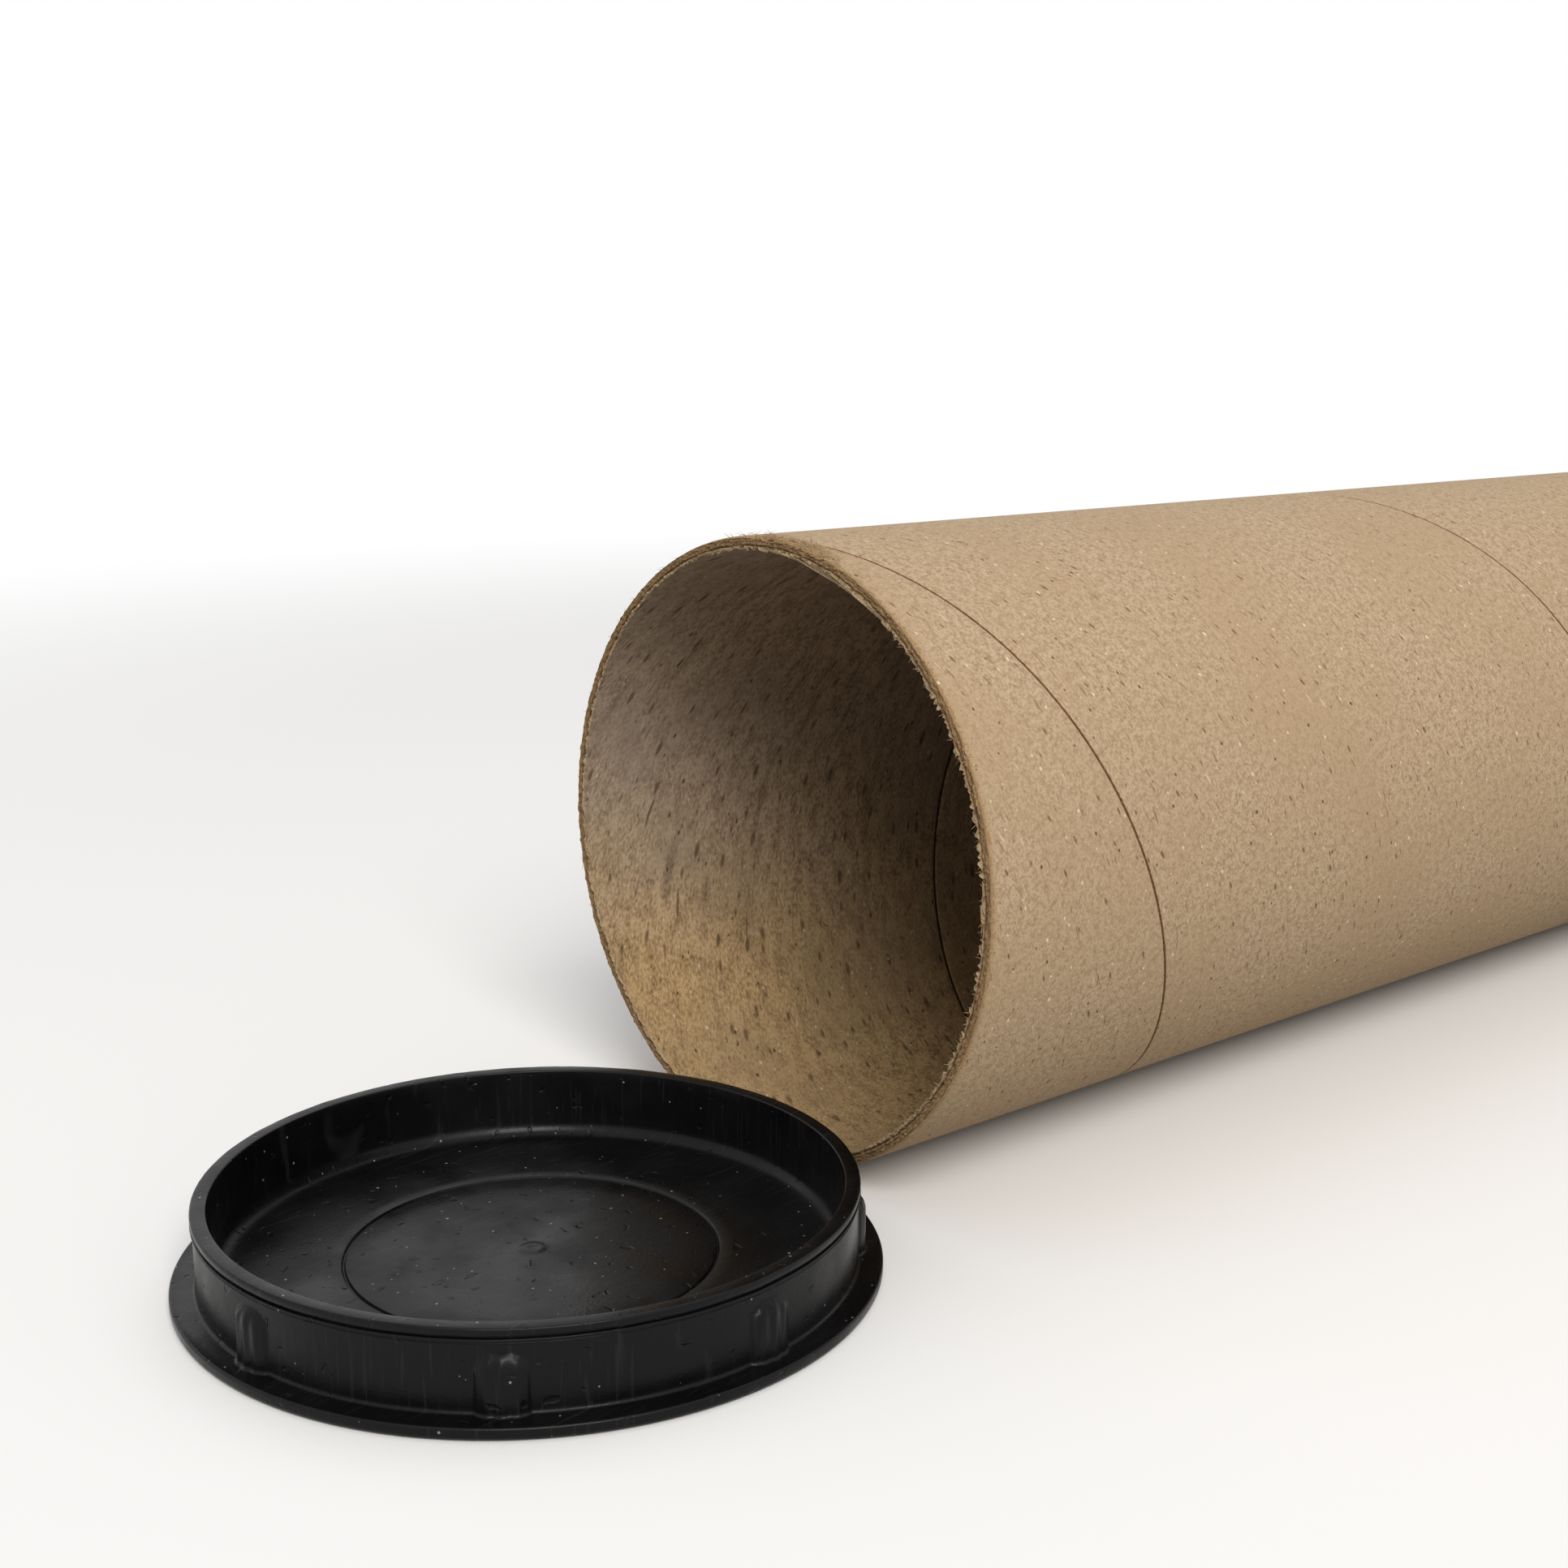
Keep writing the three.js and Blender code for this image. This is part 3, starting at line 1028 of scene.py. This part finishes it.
@dataclass
class PlugCap:
    """A moulded plug cap: flange with a rounded bead, plug with a lip, and eight crush ribs."""

    name: str
    node: str
    body: str
    place: Matrix
    finish: MouldedPolyethylene
    # The flange and the round bead, ring groove and sunk panel of its outer face.
    flange_radius: float = 39.7
    flange_thickness: float = 1.5
    bead_width: float = 3.4
    bead_round: float = 0.7
    groove_width: float = 1.0
    groove_depth: float = 0.3
    panel_recess: float = 0.5
    # The plug: its skirt, its lip and the open cup inside.
    skirt_radius: float = 36.88
    lip_radius: float = 37.1
    inside_radius: float = 35.35
    height: float = 10.5
    wall_rows: int = 22
    floor_height: float = 1.8
    floor_bow: float = 0.1
    corner_round: float = 1.8
    disc_radius: float = 21.0
    line_depth: float = 0.26
    # The crush ribs, and the fine steps that the spin takes across each.
    rib_count: int = 8
    rib_width: float = 5.4
    rib_height: float = 6.3
    rib_dome: float = 1.8
    rib_proud: float = 0.93
    rib_lobe: float = 0.57
    rib_fold: float = 0.17
    rib_arc_degrees: float = 10.0
    rib_steps: int = 36
    plain_steps: int = 22

    @staticmethod
    def arc(
        centre: tuple[float, float], radius: float, first: float, last: float, count: int
    ) -> list[tuple[float, float]]:
        """Gives points on a rounded corner of the section.

        Args:
            centre: The arc's centre, as radius and height in millimetres.
            radius: The arc's own radius in millimetres.
            first: The angle it starts at, in degrees.
            last: The angle it ends at, in degrees.
            count: How many points it has.

        Returns:
            The points as radius and height in millimetres.
        """
        turns = [math.radians(first + (last - first) * i / (count - 1)) for i in range(count)]
        return [(centre[0] + radius * math.cos(t), centre[1] + radius * math.sin(t)) for t in turns]

    def outer_face(self) -> list[tuple[float, float]]:
        """Gives the sunk panel with its gate mark, the ring groove and the bead."""
        sunk, edge, curve = self.panel_recess, self.flange_radius, self.bead_round
        bead = edge - self.bead_width
        panel = bead - self.groove_width - 0.4
        low = sunk + self.groove_depth
        face = [(0.0, sunk - 0.08), (0.7, sunk - 0.08), (0.9, sunk)]
        face += [(radius, sunk) for radius in (6.0, 14.0, 24.0, panel)]
        face += self.arc((bead - 1.15, sunk + 0.15), 0.15, 270, 360, 3)
        face += [(bead - 1.0, low - 0.02), (bead - 0.6, low), (bead - 0.1, low)]
        face += self.arc((bead + curve, curve), curve, 180, 270, 6)
        face += [(bead + self.bead_width / 2, 0.0)]
        return face + self.arc((edge - curve, curve), curve, 270, 360, 6)

    def flange_edge(self) -> list[tuple[float, float]]:
        """Gives the flange's edge and its inner face, up to the fillet under the skirt."""
        edge, thick = self.flange_radius, self.flange_thickness
        rim = [(edge, thick - 0.35), (edge, thick - 0.2)]
        rim += self.arc((edge - 0.22, thick - 0.2), 0.2, 20, 110, 4)
        rim += [(edge - 0.42, thick - 0.06), (edge - 1.15, thick - 0.03)]
        return rim + self.arc((self.skirt_radius + 0.4, thick + 0.37), 0.4, 270, 180, 5)

    def plug_wall(self) -> list[tuple[float, float]]:
        """Gives the skirt, the stepped lip with its mould line, and the inside of the wall."""
        skirt, lip, inner, height = self.skirt_radius, self.lip_radius, self.inside_radius, self.height
        foot, top = self.flange_thickness + 0.6, height - 1.75
        wall = [(skirt, foot + (top - foot) * i / self.wall_rows) for i in range(self.wall_rows + 1)]
        wall += [(skirt + 0.08, top + 0.08), (skirt, top + 0.16), (skirt, top + 0.42)]
        wall += [(lip + 0.02, top + 0.5), (lip - 0.02, top + 0.6), (skirt - 0.1, top + 0.68)]
        wall += [(skirt - 0.1, top + 0.9), (lip - 0.04, top + 1.0), (lip, top + 1.12)]
        wall += self.arc((lip - 0.25, height - 0.25), 0.25, 0, 90, 5)
        wall += [(lip - 0.7, height)]
        wall += self.arc((inner + 0.2, height - 0.2), 0.2, 90, 180, 4)
        return wall + [(inner, height - 1.5), (inner - 0.03, height - 3.5), (inner - 0.05, height - 5.5)]

    def cup_floor(self) -> list[tuple[float, float]]:
        """Gives the rounded inside corner, the bowed floor, the ring line and the ejector mark."""
        floor, corner, disc = self.floor_height, self.corner_round, self.disc_radius
        base = self.arc((self.inside_radius - 0.05 - corner, floor + corner), corner, 0, -90, 10)
        for radius in (31.5, 29.0, 26.0, 23.0, disc + 0.35):
            base.append((radius, floor + self.crown(radius)))
        line = floor - self.line_depth
        base += [(disc + 0.22, floor), (disc + 0.06, line), (disc - 0.06, line)]
        base += [(disc - 0.22, floor + 0.02), (disc - 0.4, floor + 0.06)]
        for radius in (17.0, 13.0, 9.0, 5.0, 2.2):
            base.append((radius, floor + 0.05 + self.crown(radius)))
        base += [(1.5, floor + 0.16), (1.25, floor + 0.26), (0.6, floor + 0.26), (0.35, floor + 0.2)]
        return base + [(0.0, floor + 0.18)]

    def section(self) -> list[tuple[float, float]]:
        """Gives half of the cap's section, from the middle of its outer face to its floor's."""
        return self.outer_face() + self.flange_edge() + self.plug_wall() + self.cup_floor()

    def crown(self, radius: float) -> float:
        """Gives how far the floor bows up at a radius, in millimetres."""
        return self.floor_bow * (1 - (radius / self.inside_radius) ** 2)

    def rib(self, arc_mm: float, above_flange: float) -> float:
        """Gives how far a rib stands out of the skirt.

        Args:
            arc_mm: Millimetres round the skirt from the rib's middle.
            above_flange: Millimetres above the flange.

        Returns:
            Millimetres, which is 0 beside the rib.
        """
        across = arc_mm / (self.rib_width / 2)
        rise = max(0.0, (above_flange - self.rib_height + self.rib_dome) / self.rib_dome)
        inside = 1 - across**2 - rise**2
        if inside <= 0 or above_flange > self.rib_height:
            return 0.0
        folds = 0.5 - 0.5 * math.cos(TURN * across / self.rib_lobe)
        fade = min(1.0, inside * 2.5)
        return self.rib_proud * inside**0.55 * (1 - self.rib_fold * folds * fade)

    def build(self) -> None:
        """Spins the section, presses the ribs out of the skirt and fits the cap to the frame."""
        shape = bmesh.new()
        half_arc = math.radians(self.rib_arc_degrees / 2)
        section = [
            shape.verts.new((r * math.cos(half_arc), -r * math.sin(half_arc), h))
            for r, h in self.section()
        ]
        edges = [shape.edges.new(pair) for pair in zip(section, section[1:])]
        pitch = TURN / self.rib_count
        spin = {"cent": (0, 0, 0), "axis": (0, 0, 1), "dvec": (0, 0, 0), "use_merge": False}
        fine = bmesh.ops.spin(
            shape,
            geom=section + edges,
            angle=2 * half_arc,
            steps=self.rib_steps,
            use_duplicate=False,
            **spin,
        )
        bmesh.ops.spin(
            shape,
            geom=fine["geom_last"],
            angle=pitch - 2 * half_arc,
            steps=self.plain_steps,
            use_duplicate=False,
            **spin,
        )
        bmesh.ops.spin(
            shape,
            geom=shape.verts[:] + shape.edges[:] + shape.faces[:],
            angle=TURN - pitch,
            steps=self.rib_count - 1,
            use_duplicate=True,
            **spin,
        )
        bmesh.ops.remove_doubles(shape, verts=shape.verts[:], dist=2e-4)
        top = self.height - 1.4
        for vert in shape.verts:
            radius, height = vert.co.xy.length, vert.co.z
            angle = math.atan2(vert.co.y, vert.co.x)
            if radius < TOUCH:
                continue
            away = (angle + pitch / 2) % pitch - pitch / 2
            grown = radius
            above = height - self.flange_thickness
            on_skirt = self.skirt_radius - 0.2 < radius < self.lip_radius + 0.3
            if on_skirt and above > -0.1 and height < top:
                grown += self.rib(away * self.skirt_radius, max(0.0, above))
            if radius > self.lip_radius - 0.4 and height > top - 0.45:
                vert.co.z += 0.035 * wander(angle, radius, 4.0, 2.0)
                vert.co.z += 0.02 * wander(angle, radius, 1.2, 7.0)
                grown += 0.02 * wander(angle, radius, 1.5, 4.0)
            vert.co.x *= grown / radius
            vert.co.y *= grown / radius
        bmesh.ops.recalc_face_normals(shape, faces=shape.faces[:])
        bmesh.ops.scale(shape, vec=(MM, MM, MM), verts=shape.verts[:])
        bmesh.ops.transform(shape, matrix=self.place, verts=shape.verts[:])
        cap = finished_object(self.name, shape, [self.finish.material()], 42)
        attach(cap, self.body)
        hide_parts(self.node)


@dataclass(frozen=True)
class SoftBox:
    """A square diffused lamp that faces a point."""

    name: str
    location: tuple[float, float, float]
    target: tuple[float, float, float]
    side: float
    watts: float
    tint: tuple[float, float, float]

    def build(self) -> None:
        """Hangs the lamp."""
        lamp = bpy.data.lights.new(self.name, "AREA")
        lamp.shape = "SQUARE"
        lamp.size = self.side
        lamp.energy = self.watts
        lamp.color = self.tint
        holder = bpy.data.objects.new(self.name, lamp)
        holder.location = self.location
        holder.rotation_mode = "QUATERNION"
        aim = Vector(self.target) - Vector(self.location)
        holder.rotation_quaternion = aim.to_track_quat("-Z", "Y")
        bpy.context.scene.collection.objects.link(holder)


@dataclass
class Studio:
    """The pale floor, the white surround and the soft lamps."""

    floor_radius: float = 6.0
    surround_level: float = 0.42
    lamps: tuple[SoftBox, ...] = ()

    def build(self) -> None:
        """Sets up the floor, the world and the lamps."""
        shape = bmesh.new()
        bmesh.ops.create_circle(shape, cap_ends=True, segments=96, radius=self.floor_radius)
        floor = finished_object("floor", shape, [SeamlessPaper().material()], 30)
        world = bpy.data.worlds.new("white_surround")
        bpy.context.scene.world = world
        world.use_nodes = True
        tree = world.node_tree
        tree.nodes.clear()
        level = ranged(tree, in_sight(tree), 0.0, 1.0, self.surround_level, 1.0)
        glow = add(tree, "Background", {"Color": (1, 1, 1, 1)}, {"Strength": level})
        add(tree, "OutputWorld", {}, {"Surface": glow})
        for lamp in self.lamps:
            lamp.build()
        bpy.context.scene.view_settings.view_transform = "Standard"


@dataclass(frozen=True)
class PhotoCamera:
    """The camera, at the photograph's viewing angle."""

    location: tuple[float, float, float]
    azimuth_degrees: float
    elevation_degrees: float
    focal_pixels: float

    def build(self) -> None:
        """Sets the scene's camera."""
        azimuth, elevation = math.radians(self.azimuth_degrees), math.radians(self.elevation_degrees)
        back = Vector(
            (
                math.sin(azimuth) * math.cos(elevation),
                -math.cos(azimuth) * math.cos(elevation),
                math.sin(elevation),
            )
        )
        data = bpy.data.cameras.new("photo_camera")
        data.sensor_width = SENSOR_WIDTH
        data.lens = self.focal_pixels / IMAGE_SIDE * SENSOR_WIDTH
        data.clip_start = 0.01
        camera = bpy.data.objects.new("photo_camera", data)
        camera.location = self.location
        camera.rotation_mode = "QUATERNION"
        camera.rotation_quaternion = (-back).to_track_quat("-Z", "Y")
        bpy.context.scene.collection.objects.link(camera)
        bpy.context.scene.camera = camera


OUTER_KRAFT = KraftPaper(
    name="kraft_outer_ply",
    dark="987E62",
    base="B79E7F",
    pale="D0BB9D",
    cloud="B39878",
    flecks=(
        Fleck("664B32", 1.2, 0.44, 2.7, 0.66, 0.85, 20.0, 0.3, seed=3.0),
        Fleck("4A3523", 0.55, 0.4, 3.6, 0.62, 0.9, -35.0, seed=11.0),
        Fleck("7C5F42", 1.9, 0.32, 2.2, 0.62, 0.7, 70.0, 0.6, seed=23.0),
        Fleck("775A3E", 1.6, 0.28, 2.1, 0.62, 0.65, -50.0, 0.6, seed=37.0),
        Fleck("EADBBF", 0.6, 0.42, 3.2, 0.58, 0.9, 10.0, seed=51.0),
        Fleck("DCC9AA", 1.5, 0.3, 2.9, 0.58, 0.75, -75.0, 0.5, seed=67.0),
        Fleck("73553A", 4.5, 0.18, 4.2, 0.5, 0.7, 35.0, 2.4, seed=83.0),
    ),
)
INNER_KRAFT = KraftPaper(
    name="kraft_inner_ply",
    dark="7A6955",
    base="AE9982",
    pale="D0BDA7",
    cloud="96877A",
    # Painted warm light low in the bore.
    painted_warm_light="FFF1CB",
    stretch=2.2,
    mottle_mm=1.6,
    relief_mm=0.05,
    flecks=(
        Fleck("54402C", 2.6, 0.8, 2.4, 0.72, 0.75, 6.0, 0.5, seed=5.0),
        Fleck("3A2B1E", 0.9, 0.4, 2.8, 0.62, 0.9, -20.0, seed=17.0),
        Fleck("D3C1A8", 0.8, 0.42, 3.4, 0.56, 0.85, 40.0, seed=29.0),
        Fleck("46331F", 4.5, 0.45, 3.8, 0.55, 0.7, -8.0, 1.2, seed=43.0),
        Fleck("5A4638", 13.0, 1.7, 3.4, 0.6, 0.34, 3.0, 1.2, seed=61.0),
        Fleck("D9CCB8", 1.3, 0.28, 2.0, 0.5, 0.6, 70.0, 2.0, seed=83.0),
        Fleck("30231A", 1.2, 0.26, 2.1, 0.5, 0.75, -50.0, 2.4, seed=97.0),
    ),
)
# The outer seam groove: the cut ply edge's brown, darkened further as painted shade.
SEAM_EDGE_AND_SHADE = KraftPaper(
    name="kraft_seam_edge_and_shade",
    dark="553A25",
    base="704E30",
    pale="8C6946",
    cloud="61452C",
)
# The bore's seam groove: a much darker brown, painted shade over the cut ply edge.
INNER_SEAM_EDGE_AND_SHADE = KraftPaper(
    name="kraft_inner_seam_edge_and_shade",
    dark="2A1D13",
    base="38281A",
    pale="4A3724",
    cloud="32231A",
)
LOOSE_FIBRE = KraftPaper(
    name="kraft_torn_fibre",
    dark="7D6143",
    base="A58A67",
    pale="D2BE9C",
    cloud="B89D78",
)
SAWN_EDGE = SawnPaperEdge(
    name="sawn_ply_edge",
    bands=(
        (0.0, "B9A384"),
        (0.18, "AA9070"),
        (0.25, "6B5238"),
        (0.32, "6B5238"),
        (0.38, "927655"),
        (0.56, "8A6F4E"),
        (0.62, "9A7E5B"),
        (0.80, "8B7050"),
        (0.86, "9A7E5C"),
        (1.0, "A0845F"),
    ),
)


def main() -> None:
    """Builds the camera, the studio, the tube and its two caps."""
    low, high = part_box("tube")
    rear_low, rear_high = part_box("rear_cap")
    axis_y, axis_z = (low.y + high.y) / 2, (low.z + high.z) / 2
    outer_radius = (high.z - low.z) / 2
    PhotoCamera(
        location=(-0.429832, -0.191013, 0.102581),
        azimuth_degrees=-40.75,
        elevation_degrees=11.91,
        focal_pixels=2591.0,
    ).build()
    Studio(
        lamps=(
            SoftBox("key_softbox", (-1.15, -1.6, 1.5), (-0.1, 0.0, 0.0), 1.2, 40.0, (1.0, 0.968, 0.922)),
            SoftBox("top_softbox", (0.5, 0.6, 1.9), (0.1, 0.0, 0.0), 1.6, 6.0, (0.97, 0.985, 1.0)),
        ),
    ).build()
    WoundTube(
        mouth_x=low.x,
        far_x=high.x,
        axis_y=axis_y,
        axis_z=axis_z,
        outer_radius=outer_radius,
        bore_radius=outer_radius - WALL_MM * MM,
        outer_face=OUTER_KRAFT,
        inner_face=INNER_KRAFT,
        edge=SAWN_EDGE,
        seam=SEAM_EDGE_AND_SHADE,
        inner_seam=INNER_SEAM_EDGE_AND_SHADE,
        fibre=LOOSE_FIBRE,
    ).build()
    loose_x = low.x - outer_radius - LOOSE_CAP_GAP_MM * MM
    loose_centre = Vector((loose_x, axis_y - LOOSE_CAP_ASIDE_MM * MM, 0.0))
    loose_turn = math.radians(LOOSE_CAP_TURN_DEGREES)
    PlugCap(
        name="plug_cap_loose",
        node="loose_cap",
        body="tube_body",
        place=Matrix.Translation(loose_centre) @ Matrix.Rotation(loose_turn, 4, "Z"),
        finish=MouldedPolyethylene("black_polyethylene_loose", loose_centre, (0.0, 0.0, loose_turn)),
    ).build()
    rear_turn = Matrix(((0, 0, -1, 0), (0, 1, 0, 0), (1, 0, 0, 0), (0, 0, 0, 1)))
    rear_centre = Vector((rear_high.x, axis_y, axis_z))
    PlugCap(
        name="plug_cap_rear",
        node="rear_cap",
        body="rear_cap_body",
        place=Matrix.Translation(rear_centre) @ rear_turn,
        finish=MouldedPolyethylene("black_polyethylene_rear", rear_centre, tuple(rear_turn.to_euler())),
    ).build()


if __name__ == "__main__":
    main()
